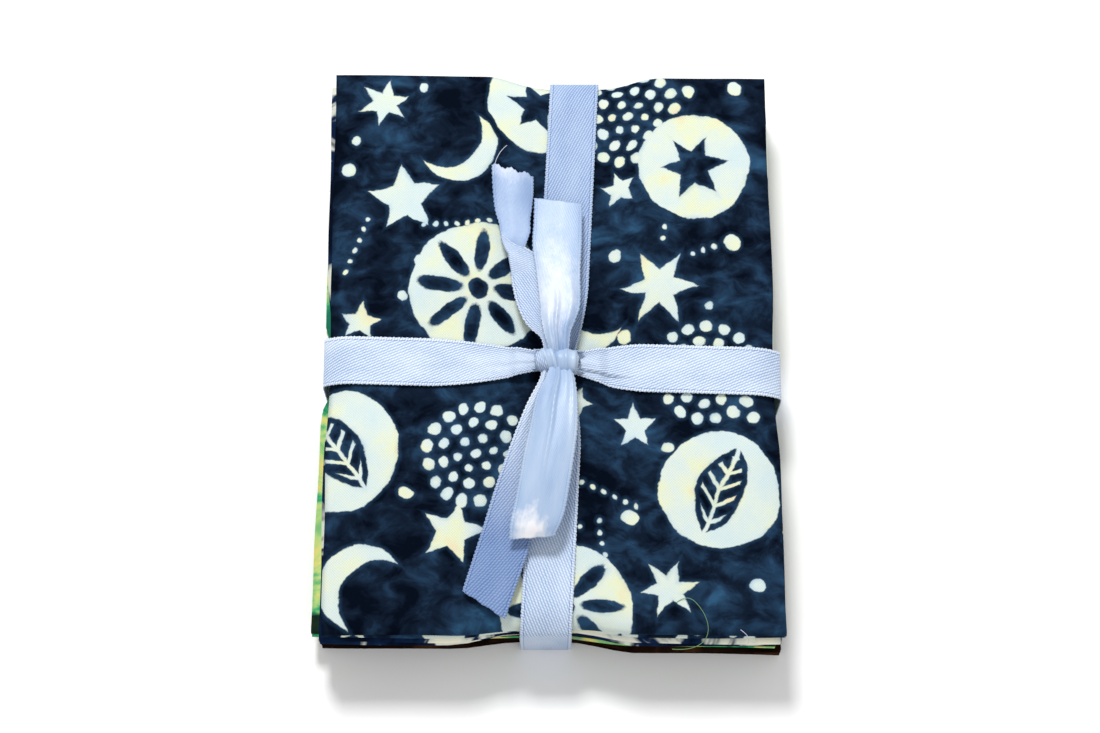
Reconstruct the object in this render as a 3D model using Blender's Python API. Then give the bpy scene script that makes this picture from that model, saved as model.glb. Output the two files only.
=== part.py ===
"""A fat quarter bundle: four folded cotton quarters, tied crosswise with two lengths of satin ribbon.

Metres, +Z up. X runs across the bundle and Y from its front to its back. The origin is on the surface that the
bundle rests on, under the middle of its outline. Each quarter is one sheet, folded back and forth from front to back.
All quarters share one grid of stations and one squeeze, so they stay apart where the ribbon draws the stack in.
"""

import math
from collections import namedtuple

import bmesh
import bpy
from mathutils import Matrix, Vector

MM = 0.001

# The folded stack
HALF_W = 56.3 * MM
HALF_L = 73.9 * MM
CLOTH = 1.1 * MM  # one folded ply
PLY_GAP = 0.25 * MM
QUARTER_GAP = 0.5 * MM
PLIES = 4
FOLD_STEPS = 4
CUT_BACK = 0.8 * MM  # how far a cut end stays inside the folds
MOVE_X = 0.982 * MM  # sets the middle of the outline over the origin
MOVE_Y = 0.3 * MM

# Where each quarter's corners lie, in mm: the left and right edges at the back and the front of the stack, and the
# back and front edges at the left and the right of it
Quarter = namedtuple(
    "Quarter",
    "node left_back left_front right_back right_front back_left back_right front_left front_right colour",
)
QUARTERS = [
    Quarter("fat_quarter_star_print", -56.4, -55.8, 55.6, 56.8, 74.6, 73.4, -74.0, -73.9, (0.010, 0.025, 0.080)),
    Quarter("fat_quarter_navy_cream", -58.0, -56.8, 55.0, 56.2, 73.4, 73.9, -74.5, -74.9, (0.030, 0.060, 0.120)),
    Quarter("fat_quarter_green", -57.4, -59.3, 56.3, 55.4, 74.2, 73.0, -71.5, -74.6, (0.060, 0.350, 0.160)),
    Quarter("fat_quarter_dark_brown", -57.2, -57.5, 55.8, 56.9, 73.6, 74.0, -73.2, -75.2, (0.030, 0.012, 0.008)),
]

# The ribbon and how it runs over the stack
RIBBON_W = 12.5 * MM
RIBBON = 1.0 * MM
GAP = 0.3 * MM
ACROSS_Y = -6.8 * MM  # the band across: its middle at X = 0, and its slant
ACROSS_SLOPE = -0.023
ALONG_X = 2.2 * MM  # the band along: its middle at Y = 0, and its slant
ALONG_SLOPE = 0.051
BAND_TURNS = 28
BAND_STEP = 3.4 * MM
GATHERED_W = 6.5 * MM  # a band's width at the knot
GATHER_START = 4 * MM
GATHER_LENGTH = 12 * MM
OVER = RIBBON + GAP  # how far one band rises over the other
OVER_HALF = 9.8 * MM
OVER_RAMP = 3 * MM

# How the ribbon presses the cloth
CHANNEL_HALF = 7 * MM
CHANNEL_RAMP = 3 * MM
CROSSING_HALF = 14 * MM  # the deeper hollow under the stack, where the bands cross
CROSSING_RAMP = 6 * MM
PRESS_RAMP = 16 * MM
CHANNEL = RIBBON + GAP  # the rise of the underside over a band
PRESS = 0.7 * MM  # how deep a band sinks into the top
SHOULDER = 2.4 * MM  # how much more it draws the top down at an edge
SIDE_PULL = 0.3 * MM  # how far the band across draws the sides in
FRONT_PULL = 1.5 * MM  # and the band along the front and the back
BACK_PULL = 3.0 * MM
HELD = 0.95  # the share of a quarter's own shift that it takes away
EDGE = 7 * MM  # the rounded rim of the top
RIM_DROP = 0.7 * MM
PUFF = 0.5 * MM  # the swell of each field between the bands

PITCH = CLOTH + PLY_GAP
QUARTER_T = PLIES * CLOTH + (PLIES - 1) * PLY_GAP
STACK_T = len(QUARTERS) * QUARTER_T + (len(QUARTERS) - 1) * QUARTER_GAP

# The knot in sections across the bundle, in mm: the place in X, the half depth in Y, the half height, and how far the
# section's middle lies behind and above the knot's own
KNOT_X = 1.6 * MM
KNOT_Y = -6.4 * MM
KNOT_SIDES = 14
KNOT_POWER = 3
KNOT_RISE = 2.7 * MM
KnotSection = namedtuple("KnotSection", "x depth height behind above")
KNOT = [
    KnotSection(-5.6, 1.2, 1.1, 0.3, -0.5),
    KnotSection(-4.9, 2.6, 1.9, 0.2, -0.5),
    KnotSection(-3.4, 3.1, 2.2, 0.0, -0.4),
    KnotSection(-2.2, 2.6, 1.9, -0.1, -0.3),
    KnotSection(-1.6, 3.7, 2.5, 0.0, 0.0),
    KnotSection(0.2, 4.1, 2.7, 0.0, 0.0),
    KnotSection(2.8, 4.1, 2.7, 0.1, 0.0),
    KnotSection(4.2, 3.6, 2.3, 0.3, -0.2),
    KnotSection(5.0, 2.2, 1.4, 0.5, -0.4),
]

# The free ends, from the knot to the cut. Places, widths and creases are in mm, places above the stack's top
EndRow = namedtuple("EndRow", "x y above width roll crease")
END_STEPS = 3
ENDS = {
    "ribbon_end_back_left": [
        EndRow(-0.6, -1.9, 3.6, 5.0, 0, 0.8),
        EndRow(-3.2, 4.5, 3.0, 5.6, 12, 1.0),
        EndRow(-5.4, 12.0, 2.9, 6.8, 20, 0.7),
        EndRow(-7.6, 19.0, 3.0, 6.4, 26, 0.5),
        EndRow(-8.9, 23.8, 2.9, 5.6, 6, 0.2),
        EndRow(-9.6, 28.5, 2.7, 7.6, -12, -0.4),
        EndRow(-10.1, 38.0, 2.2, 10.4, -10, 0.3),
        EndRow(-10.4, 48.0, 2.2, 10.8, -6, 0.5),
    ],
    "ribbon_end_back_right": [
        EndRow(2.6, -1.9, 5.8, 6.4, 0, 1.2),
        EndRow(2.2, 4.5, 5.6, 8.0, 0, 1.0),
        EndRow(1.6, 12.0, 5.0, 10.0, -3, 0.7),
        EndRow(1.4, 22.5, 4.1, 12.2, -3, 0.4),
        EndRow(1.6, 31.0, 3.6, 12.4, -2, 0.2),
        EndRow(1.7, 37.8, 3.5, 12.4, -2, 0.0),
    ],
    "ribbon_end_front_upper": [
        EndRow(2.8, -11.0, 5.8, 5.6, 0, 1.2),
        EndRow(2.8, -17.0, 6.6, 6.4, 4, 1.4),
        EndRow(1.1, -25.0, 7.2, 9.8, 6, 1.3),
        EndRow(-0.7, -34.0, 7.3, 12.0, 6, 1.0),
        EndRow(-2.8, -43.5, 7.0, 12.3, 5, 0.6),
        EndRow(-5.4, -52.4, 6.0, 10.6, 2, 0.3),
    ],
    "ribbon_end_front_lower": [
        EndRow(-0.2, -11.0, 3.6, 5.0, 0, 0.8),
        EndRow(-2.8, -17.5, 2.9, 7.0, -6, 0.7),
        EndRow(-5.8, -28.0, 2.5, 9.6, -6, 0.5),
        EndRow(-8.9, -39.0, 2.3, 11.6, -3, 0.3),
        EndRow(-12.2, -51.0, 2.1, 12.0, 0, 0.0),
        EndRow(-16.8, -67.0, 1.9, 11.4, 0, 0.0),
    ],
}
RIBBON_COLOUR = (0.62, 0.70, 0.92)


def smooth(share):
    """A soft step from 0 to 1."""
    share = min(1.0, max(0.0, share))
    return share * share * (3 - 2 * share)


def near(distance, half, ramp):
    """1 within half of a line, 0 past the ramp beside it."""
    return 1 - smooth((abs(distance) - half) / ramp)


def mix(a, b, share):
    return a + (b - a) * share


def across_middle(x):
    """The band across: the Y of its middle."""
    return ACROSS_Y + ACROSS_SLOPE * x


def along_middle(y):
    """The band along: the X of its middle."""
    return ALONG_X + ALONG_SLOPE * y


def side_edge(quarter, side, y):
    """The X of a quarter's left (-1) or right (1) edge, drawn in under the band across."""
    back, front = (
        (quarter.left_back, quarter.left_front) if side < 0 else (quarter.right_back, quarter.right_front)
    )
    own = mix(front, back, (y + HALF_L) / (2 * HALF_L)) * MM
    tied = near(y - across_middle(side * HALF_W), CHANNEL_HALF, PRESS_RAMP)
    return mix(own, side * HALF_W, HELD * tied) - side * SIDE_PULL * tied


def end_edge(quarter, side, x):
    """The Y of a quarter's front (-1) or back (1) edge, drawn in under the band along."""
    left, right = (
        (quarter.front_left, quarter.front_right) if side < 0 else (quarter.back_left, quarter.back_right)
    )
    own = mix(left, right, (x + HALF_W) / (2 * HALF_W)) * MM
    tied = near(x - along_middle(side * HALF_L), CHANNEL_HALF, PRESS_RAMP)
    pull = FRONT_PULL if side < 0 else BACK_PULL
    return mix(own, side * HALF_L, HELD * tied) - side * pull * tied


def stations(half, middle):
    """The inner stations of one direction: the rim, the fields and both sides of a band's channel."""
    inner = half - EDGE
    near_side = middle - CHANNEL_HALF - CHANNEL_RAMP
    far_side = middle + CHANNEL_HALF + CHANNEL_RAMP
    return [
        -inner,
        mix(-inner, near_side, 0.55),
        near_side,
        middle - CHANNEL_HALF,
        middle + CHANNEL_HALF,
        far_side,
        mix(far_side, inner, 0.45),
        inner,
    ]


def squeezed(x, y, height, rim):
    """The height of a point of the loose stack once the ribbon is tied. rim is 0 inside and 1 at an edge."""
    off_across = y - across_middle(x)
    off_along = x - along_middle(y)
    over_across = near(off_across, CHANNEL_HALF, CHANNEL_RAMP)
    over_along = near(off_along, CHANNEL_HALF, CHANNEL_RAMP)
    over_both = over_along * near(off_across, CROSSING_HALF, CROSSING_RAMP)
    rise = CHANNEL * (max(over_across, over_along) + over_both)
    tied = near(off_across, CHANNEL_HALF, PRESS_RAMP) + near(off_along, CHANNEL_HALF, PRESS_RAMP)
    swell = PUFF * max(0.0, 1 - tied) * (1 - rim)
    drop = tied * (PRESS + SHOULDER * rim) + RIM_DROP * rim - swell
    return rise + height / STACK_T * (STACK_T - drop - rise)


def folded_path(top):
    """The middle line of one back-and-forth section: station, its offset in Y, height, and the way its face looks.

    Station 0 is the back edge and the last one the front edge.
    """
    last = len(stations(HALF_L, 0)) + 1
    nose = PITCH / 2 + CLOTH / 2
    path = []
    for ply in range(PLIES):
        height = top - CLOTH / 2 - ply * PITCH
        down = 1 if ply % 2 else -1
        order = range(last + 1) if down < 0 else range(last, -1, -1)
        for station in order:
            side = 1 if station == 0 else -1 if station == last else 0
            cut = (ply == 0 and station == 0) or (ply == PLIES - 1 and station == order[-1])
            inset = side * (CUT_BACK if cut else nose)
            path.append((station, -inset, height, (0.0, -float(down))))
        if ply == PLIES - 1:
            break
        for step in range(1, FOLD_STEPS):
            angle = math.pi * step / FOLD_STEPS
            out = math.sin(angle) * PITCH / 2
            side = -1 if down < 0 else 1
            path.append(
                (
                    order[-1],
                    side * (out - nose),
                    height - PITCH / 2 + math.cos(angle) * PITCH / 2,
                    (-math.sin(angle), math.cos(angle) * -down),
                )
            )
    return path


def cloth_point(quarter, column, node, face):
    """A point of a quarter's skin. face is 1 on the side that starts on top, -1 on the other."""
    station, off_y, height, looks = node
    across = stations(HALF_W, ALONG_X)
    rough_x = HALF_W * (-1 if column == 0 else 1) if column in (0, len(across) + 1) else across[column - 1]
    inner_y = stations(HALF_L, across_middle(rough_x))[::-1]
    if station == 0:
        y = end_edge(quarter, 1, rough_x)
    elif station == len(inner_y) + 1:
        y = end_edge(quarter, -1, rough_x)
    else:
        y = inner_y[station - 1]
    inner_x = stations(HALF_W, along_middle(y))
    if column == 0:
        x = side_edge(quarter, -1, y)
    elif column == len(inner_x) + 1:
        x = side_edge(quarter, 1, y)
    else:
        x = inner_x[column - 1]
    rim = 1.0 if column in (0, len(inner_x) + 1) or station in (0, len(inner_y) + 1) else 0.0
    level = squeezed(x, y, height + face * looks[1] * CLOTH / 2, rim)
    return Vector((x + MOVE_X, y + off_y + face * looks[0] * CLOTH / 2 + MOVE_Y, level))


def quarter_top(index):
    return STACK_T - index * (QUARTER_T + QUARTER_GAP)


def halves(quad, points):
    """Two triangles that meet on the line from the corner nearest to the bundle's middle, in each ply the same."""
    first = min(range(4), key=lambda k: points[quad[k]].xy.length)
    a, b, c, d = (quad[(first + k) % 4] for k in range(4))
    return [(a, b, c), (a, c, d)]


def thick_sheet(name, front, back):
    """A closed solid between two grids of points of the same size."""
    rows, columns = len(front), len(front[0])
    points = [p for grid in (front, back) for row in grid for p in row]
    other = rows * columns
    faces = []
    for r in range(rows - 1):
        for c in range(columns - 1):
            a = r * columns + c
            quad = (a, a + columns, a + columns + 1, a + 1)
            faces += halves(quad, points)
            faces += halves([other + k for k in quad], points)
    for r in range(rows - 1):
        for a in (r * columns, r * columns + columns - 1):
            faces.append((a, a + columns, other + a + columns, other + a))
    for c in range(columns - 1):
        for a in (c, (rows - 1) * columns + c):
            faces.append((a, a + 1, other + a + 1, other + a))
    return mesh_object(name, points, faces)


def mesh_object(name, points, faces):
    """A named object of the bundle, from points and faces, with its faces turned out."""
    work = bmesh.new()
    corners = [work.verts.new(p) for p in points]
    for face in faces:
        work.faces.new([corners[k] for k in face])
    bmesh.ops.recalc_face_normals(work, faces=work.faces)
    mesh = bpy.data.meshes.new(name)
    work.to_mesh(mesh)
    work.free()
    obj = bpy.data.objects.new(name, mesh)
    bundle.objects.link(obj)
    return obj


def finish(obj, colour, roughness):
    material = bpy.data.materials.new(obj.name)
    material.use_nodes = True
    shader = material.node_tree.nodes["Principled BSDF"]
    shader.inputs["Base Color"].default_value = (*colour, 1.0)
    shader.inputs["Roughness"].default_value = roughness
    shader.inputs["Metallic"].default_value = 0.0
    obj.data.materials.append(material)
    obj.data.shade_smooth()
    obj.data.set_sharp_from_angle(angle=math.radians(40))
    return obj


def fat_quarter(index):
    quarter = QUARTERS[index]
    path = folded_path(quarter_top(index))
    columns = len(stations(HALF_W, 0)) + 2
    front, back = (
        [[cloth_point(quarter, column, node, face) for column in range(columns)] for node in path]
        for face in (1, -1)
    )
    finish(thick_sheet(quarter.node, front, back), quarter.colour, 0.9)


def tied_outline(lies_along):
    """What a band lies on, seen along its edge: points as (run, height)."""
    columns = range(len(stations(HALF_W, 0)) + 2)
    channel = (4, 5)  # the stations at both sides of a channel
    found = []
    for index, quarter in enumerate(QUARTERS):
        for node in folded_path(quarter_top(index)):
            for column in columns:
                if (column if lies_along else node[0]) in channel:
                    for face in (1, -1):
                        point = cloth_point(quarter, column, node, face)
                        found.append((point.y if lies_along else point.x, point.z))
    return found


def taut_loop(outline):
    """A ribbon pulled tight round an outline: its places on the outline, each with the way out from there."""
    corners = []
    for turn in range(BAND_TURNS):
        angle = 2 * math.pi * (turn + 0.5) / BAND_TURNS
        out = Vector((math.cos(angle), math.sin(angle)))
        corners.append((Vector(max(outline, key=lambda p: p[0] * out.x + p[1] * out.y)), out))
    loop = []
    for (place, out), (next_place, next_out) in zip(corners, corners[1:] + corners[:1]):
        steps = max(1, math.ceil((next_place - place).length / BAND_STEP))
        for step in range(steps):
            share = step / steps
            loop.append((place.lerp(next_place, share), out.lerp(next_out, share).normalized()))
    return loop


def band(name, lies_along):
    """A closed ribbon band round the stack, gathered under the knot and raised where it passes the other band."""
    middle = along_middle if lies_along else across_middle
    knot = (KNOT_Y if lies_along else KNOT_X) + (MOVE_Y if lies_along else MOVE_X)
    side_move = MOVE_X if lies_along else MOVE_Y
    sections = []
    for place, out in taut_loop(tied_outline(lies_along)):
        run = place.x - knot
        on_top = place.y > STACK_T / 2
        gather = near(run, GATHER_START, GATHER_LENGTH) if on_top and abs(out.y) > 0.9 else 0.0
        rises = on_top != lies_along and abs(out.y) > 0.9
        lift = OVER * near(run, OVER_HALF, OVER_RAMP) if rises else 0.0
        half = mix(RIBBON_W, GATHERED_W, gather) / 2
        centre = middle(place.x) + side_move
        section = []
        for off, depth in ((-half, GAP), (half, GAP), (half, GAP + RIBBON), (-half, GAP + RIBBON)):
            at = place + out * depth
            height = max(0.0, at.y + lift)
            section.append(
                Vector((centre + off, at.x, height)) if lies_along else Vector((at.x, centre + off, height))
            )
        sections.append(section)
    count = len(sections)
    points = [p for section in sections for p in section]
    faces = []
    for i in range(count):
        for k in range(4):
            a, b = 4 * i, 4 * ((i + 1) % count)
            faces.append((a + k, a + (k + 1) % 4, b + (k + 1) % 4, b + k))
    finish(mesh_object(name, points, faces), RIBBON_COLOUR, 0.4)


def knot():
    centre = Vector((KNOT_X + MOVE_X, KNOT_Y + MOVE_Y, STACK_T + 2 * OVER - PRESS + GAP + KNOT_RISE))
    points = []
    for section in KNOT:
        for k in range(KNOT_SIDES):
            angle = 2 * math.pi * k / KNOT_SIDES
            c, s = math.cos(angle), math.sin(angle)
            size = (abs(c) ** KNOT_POWER + abs(s) ** KNOT_POWER) ** (-1 / KNOT_POWER)
            y = section.behind + section.depth * c * size
            z = section.above + section.height * s * size
            points.append(centre + Vector((section.x, y, z)) * MM)
    faces = []
    for i in range(len(KNOT) - 1):
        for k in range(KNOT_SIDES):
            a, b = i * KNOT_SIDES, (i + 1) * KNOT_SIDES
            faces.append((a + k, b + k, b + (k + 1) % KNOT_SIDES, a + (k + 1) % KNOT_SIDES))
    faces.append(tuple(range(KNOT_SIDES)))
    faces.append(tuple(range(len(points) - 1, len(points) - KNOT_SIDES - 1, -1)))
    finish(mesh_object("ribbon_knot", points, faces), RIBBON_COLOUR, 0.4)


def between(rows, steps):
    """More rows on a smooth curve through the rows."""
    found = []
    last = len(rows) - 1
    for i in range(last):
        before, start, end, after = rows[max(0, i - 1)], rows[i], rows[i + 1], rows[min(last, i + 2)]
        for step in range(steps):
            t = step / steps
            found.append(
                EndRow(
                    *(
                        b + t / 2 * (c - a + t * (2 * a - 5 * b + 4 * c - d + t * (3 * (b - c) + d - a)))
                        for a, b, c, d in zip(before, start, end, after)
                    )
                )
            )
    return found + [rows[-1]]


def free_end(name, rows):
    """A ribbon end with a crease along its middle."""
    rows = between(rows, END_STEPS)
    centres = [Vector((r.x * MM + MOVE_X, r.y * MM + MOVE_Y, STACK_T + r.above * MM)) for r in rows]
    front, back = [], []
    for i, (row, centre) in enumerate(zip(rows, centres)):
        way = (centres[min(i + 1, len(rows) - 1)] - centres[max(i - 1, 0)]).normalized()
        side = Matrix.Rotation(math.radians(row.roll), 3, way) @ way.cross(Vector((0, 0, 1))).normalized()
        up = side.cross(way)
        line = [
            centre - side * row.width / 2 * MM,
            centre + up * row.crease * MM,
            centre + side * row.width / 2 * MM,
        ]
        front.append([p + up * RIBBON / 2 for p in line])
        back.append([p - up * RIBBON / 2 for p in line])
    finish(thick_sheet(name, front, back), RIBBON_COLOUR, 0.4)


for old in list(bpy.data.objects):
    bpy.data.objects.remove(old, do_unlink=True)
bundle = bpy.data.collections.new("fat_quarter_bundle")
bpy.context.scene.collection.children.link(bundle)

for number in range(len(QUARTERS)):
    fat_quarter(number)
band("ribbon_band_across", lies_along=False)
band("ribbon_band_along", lies_along=True)
knot()
for end_name, end_rows in ENDS.items():
    free_end(end_name, end_rows)
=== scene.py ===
import functools
import math
from collections import namedtuple

import bpy
import numpy as np
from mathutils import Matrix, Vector


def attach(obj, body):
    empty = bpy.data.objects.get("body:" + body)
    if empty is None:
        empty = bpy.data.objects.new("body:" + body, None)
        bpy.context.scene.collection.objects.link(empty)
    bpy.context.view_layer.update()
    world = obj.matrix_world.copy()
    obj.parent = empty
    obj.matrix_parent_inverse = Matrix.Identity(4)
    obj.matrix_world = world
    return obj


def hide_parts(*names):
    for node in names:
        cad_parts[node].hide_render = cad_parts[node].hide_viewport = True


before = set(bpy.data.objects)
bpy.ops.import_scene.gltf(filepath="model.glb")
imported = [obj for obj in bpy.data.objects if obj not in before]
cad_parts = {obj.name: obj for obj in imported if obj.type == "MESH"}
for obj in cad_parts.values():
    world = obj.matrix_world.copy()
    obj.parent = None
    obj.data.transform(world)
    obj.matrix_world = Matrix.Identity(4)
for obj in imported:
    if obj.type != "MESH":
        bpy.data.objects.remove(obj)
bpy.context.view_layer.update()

MM = 0.001

# The folded stack, in the sizes of its solids
HALF_W = 56.3 * MM
HALF_L = 73.9 * MM
PLY = 1.1 * MM  # a thick ply, which is four plies of cloth here
PLY_GAP = 0.25 * MM
QUARTER_GAP = 0.5 * MM
PLIES = 4
PITCH = PLY + PLY_GAP
QUARTER_T = PLIES * PLY + (PLIES - 1) * PLY_GAP
STACK_T = 4 * QUARTER_T + 3 * QUARTER_GAP
MOVE = np.array([0.982 * MM, 0.3 * MM, 0.0])

# One fat quarter before it is folded, and the cloth's own thickness
CUT_W = 0.457
CUT_L = 0.590
THIN_PLIES = 4
THIN_PITCH = 0.255 * MM
CLOTH = 0.17 * MM
CUT_INSET = 0.1 * MM  # of a cut edge from the outline, and of a fold
FOLD_INSET = 0.2 * MM

# Each quarter's edges in mm, at both ends of each, and its mesh cells, for covered plies and the top one
Quarter = namedtuple("Quarter", "node slot left right back front cell fine")
QUARTERS = [
    Quarter("fat_quarter_star_print", "star_print_cotton",
            (-56.4, -55.8), (55.6, 56.8), (74.6, 73.4), (-74.0, -73.9), 4.0, 1.5),
    Quarter("fat_quarter_navy_cream", "navy_cream_cotton",
            (-58.0, -56.8), (55.0, 56.2), (73.4, 73.9), (-74.5, -74.9), 4.5, 4.5),
    Quarter("fat_quarter_green", "green_cotton",
            (-57.4, -59.6), (56.3, 55.4), (74.2, 73.0), (-71.5, -74.6), 4.5, 4.5),
    Quarter("fat_quarter_dark_brown", "dark_brown_cotton",
            (-57.2, -57.5), (55.8, 56.9), (73.6, 74.0), (-73.2, -75.2), 4.5, 4.5),
]

# The ribbon, and how it presses the cloth
RIBBON_W = 12.5 * MM
RIBBON = 0.28 * MM
BAND_OUT = 0.62 * MM  # from the cloth to the middle of a band, where its solid is
BAND_OUT_SIDE = 1.5 * MM
LOWEST = 0.5 * MM  # of a band's middle under the stack
ACROSS_Y, ACROSS_SLOPE = -5.6 * MM, -0.029
ALONG_X, ALONG_SLOPE = 2.2 * MM, 0.051
CHANNEL_HALF = 7 * MM
CHANNEL_RAMP = 3 * MM
CROSSING_HALF = 14 * MM
CROSSING_RAMP = 6 * MM
PRESS_RAMP = 16 * MM
LOOSE_RAMP = 3 * MM  # at the left edge of the green quarter, which isn't drawn in far
OVER = 1.3 * MM
PRESS = 0.7 * MM
SHOULDER = 2.4 * MM
SIDE_PULL = 0.3 * MM
FRONT_PULL = 1.9 * MM
BACK_PULL = 2.2 * MM
HELD = 0.95
EDGE = 7 * MM
RIM_DROP = 0.7 * MM
PUFF = 0.5 * MM
KNOT_X = 1.6 * MM
KNOT_Y = -6.0 * MM

UNEVEN = 0.05 * MM  # how far the top cloth is uneven between its creases
CREASE_FADE = 0.7  # how much of a crease is gone at its far end
CREASE_DEPTH = 6  # the power by which the layers below follow the creases less
LEFT_IN, RIGHT_IN = 0.25 * MM, 0.15 * MM  # how far in the folds lie, at the left only those below the top one

# How each edge's folds are uneven: how far in mm, then how the wave moves on by fold, quarter and place
WAVES = {
    "left": (0.12, 3.7, 1.9, 26), "right": (0.15, 2.1, 1, 17),
    "back": (0.1, 2.9, 1, 14), "front": (0.2, 1.7, 1, 11),
}

# Soft troughs and ridges in the top cloth, in mm: a line from one end to the other, how wide and how high
Crease = namedtuple("Crease", "x1 y1 x2 y2 width height")
CREASES = [
    Crease(-9, 71, -30, 52, 3.2, -0.22), Crease(-5, 72, -15, 40, 2.4, 0.20),
    Crease(18, 72, 34, 50, 3.0, -0.25), Crease(15, 72, 22, 48, 2.2, 0.18),
    Crease(-52, 3, -34, 24, 3.0, -0.16), Crease(52, 0, 36, 26, 3.2, 0.18),
    Crease(50, -16, 30, -38, 3.4, -0.18), Crease(-50, -14, -32, -34, 3.0, 0.15),
    Crease(8, -72, 26, -52, 3.4, 0.22), Crease(-10, -72, -28, -50, 3.0, -0.20),
    Crease(30, -70, 52, -62, 2.4, 0.16), Crease(40, 60, 50, 20, 4.5, 0.15),
    Crease(-44, 66, -48, 30, 4.0, 0.14), Crease(44, -58, 40, -26, 4.5, -0.14),
]


def smooth(share):
    share = np.clip(share, 0.0, 1.0)
    return share * share * (3 - 2 * share)


def near(distance, half, ramp):
    """1 within half of a line, 0 past the ramp beside it."""
    return 1 - smooth((np.abs(distance) - half) / ramp)


def mix(a, b, share):
    return a + (b - a) * share


def across_middle(x):
    return ACROSS_Y + ACROSS_SLOPE * x


def along_middle(y):
    return ALONG_X + ALONG_SLOPE * y


def side_edge(quarter, side, y):
    """The X of a quarter's left (-1) or right (1) edge."""
    back, front = quarter.left if side < 0 else quarter.right
    own = mix(front, back, (y + HALF_L) / (2 * HALF_L)) * MM
    ramp = LOOSE_RAMP if side < 0 and quarter.node == "fat_quarter_green" else PRESS_RAMP
    tied = near(y - across_middle(side * HALF_W), CHANNEL_HALF, ramp)
    return mix(own, side * HALF_W, HELD * tied) - side * SIDE_PULL * tied


def end_edge(quarter, side, x):
    """The Y of a quarter's front (-1) or back (1) edge."""
    left, right = quarter.front if side < 0 else quarter.back
    own = mix(left, right, (x + HALF_W) / (2 * HALF_W)) * MM
    tied = near(x - along_middle(side * HALF_L), CHANNEL_HALF, PRESS_RAMP)
    pull = FRONT_PULL if side < 0 else BACK_PULL
    return mix(own, side * HALF_L, HELD * tied) - side * pull * tied


def rim(quarter, x, y):
    """0 inside a quarter and 1 at its edge, over the rounded rim."""
    off_x = np.minimum(x - side_edge(quarter, -1, y), side_edge(quarter, 1, y) - x)
    off_y = np.minimum(y - end_edge(quarter, -1, x), end_edge(quarter, 1, x) - y)
    keep = 1.0
    for off in (off_x, off_y):
        keep = keep * (1 - np.clip(1 - off / EDGE, 0, 1) ** 2)
    return 1 - keep


def squeezed(x, y, height, edge):
    """The height of a point of the loose stack once the ribbon is tied."""
    off_across = y - across_middle(x)
    off_along = x - along_middle(y)
    over_across = near(off_across, CHANNEL_HALF, CHANNEL_RAMP)
    over_along = near(off_along, CHANNEL_HALF, CHANNEL_RAMP)
    over_both = over_along * near(off_across, CROSSING_HALF, CROSSING_RAMP)
    rise = OVER * (np.maximum(over_across, over_along) + over_both)
    tied = near(off_across, CHANNEL_HALF, PRESS_RAMP) + near(off_along, CHANNEL_HALF, PRESS_RAMP)
    swell = PUFF * np.maximum(0.0, 1 - tied) * (1 - edge)
    drop = tied * (PRESS + SHOULDER * edge) + RIM_DROP * edge - swell
    return rise + height / STACK_T * (STACK_T - drop - rise)


def creased(x, y):
    """The height that the creases add."""
    total = 0.0
    for c in CREASES:
        start, way = np.array([c.x1, c.y1]) * MM, np.array([c.x2 - c.x1, c.y2 - c.y1]) * MM
        share = ((x - start[0]) * way[0] + (y - start[1]) * way[1]) / (way @ way)
        inside = np.clip(share, 0, 1)
        off = np.hypot(x - start[0] - inside * way[0], y - start[1] - inside * way[1])
        fade = 1 - CREASE_FADE * inside
        total = total + c.height * MM * fade * np.exp(-((off / (c.width * MM)) ** 2))
    uneven = np.sin(x * 310 + 1.3 * np.sin(y * 120)) * np.sin(y * 230 + 2 * np.sin(x * 90))
    return total + UNEVEN * uneven


FOLD_ANGLES = [math.pi * step / 4 for step in (1, 2, 3)]


def added(name, data):
    obj = bpy.data.objects.new(name, data)
    bpy.context.scene.collection.objects.link(obj)
    return obj


def grid_object(name, points, flat, closed=False):
    """A mesh from a grid of points, with its cloth's own flat coordinates, in metres, as the map Flat."""
    rows, columns = points.shape[:2]
    index = np.arange(rows * columns).reshape(rows, columns)
    if closed:
        index = np.vstack([index, index[:1]])
    spots = np.arange(index.size).reshape(index.shape)
    low, high = slice(None, -1), slice(1, None)
    around = (low, low), (high, low), (high, high), (low, high)
    quads = (np.stack([table[a] for a in around], axis=-1) for table in (index, spots))
    faces, corners = (quad.reshape(-1, 4) for quad in quads)
    mesh = bpy.data.meshes.new(name)
    mesh.from_pydata((points.reshape(-1, 3) + MOVE).tolist(), [], faces.tolist())
    layer = mesh.uv_layers.new(name="Flat")
    layer.uv.foreach_set("vector", flat.reshape(-1, 2)[corners].ravel())
    mesh.shade_smooth()
    return added(name, mesh)


def thicken(obj, thickness):
    solid = obj.modifiers.new("Cloth thickness", "SOLIDIFY")
    solid.thickness = thickness
    solid.offset = 0
    solid.use_rim = True


def fold_run(plies, run, pitch, cells):
    """One back-and-forth folding as arrays.

    They are the share along the run, the offset past it, the height, the way out and up, and the flat length.
    The first ply starts at share 1. cells has the number of cells in each ply.
    """
    rows = []
    length = 0.0
    for ply in range(plies):
        even = ply % 2 == 0
        for step in np.linspace(0, 1, cells[ply] + 1):
            share, up = (1 - step, 1.0) if even else (step, -1.0)
            rows.append((share, 0.0, -ply * pitch, 0.0, up, length + step * run))
        length += run
        if ply < plies - 1:
            side = -1 if even else 1
            for angle in FOLD_ANGLES:
                sine, cosine = math.sin(angle), math.cos(angle)
                height = -ply * pitch - (1 - cosine) * pitch / 2
                out, passed = side * sine * pitch / 2, length + angle * pitch / 2
                rows.append((max(side, 0), out, height, -sine, -side * cosine, passed))
            length += math.pi * pitch / 2
    return np.array(rows).T


def top_of(index):
    return STACK_T - index * (QUARTER_T + QUARTER_GAP)


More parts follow.
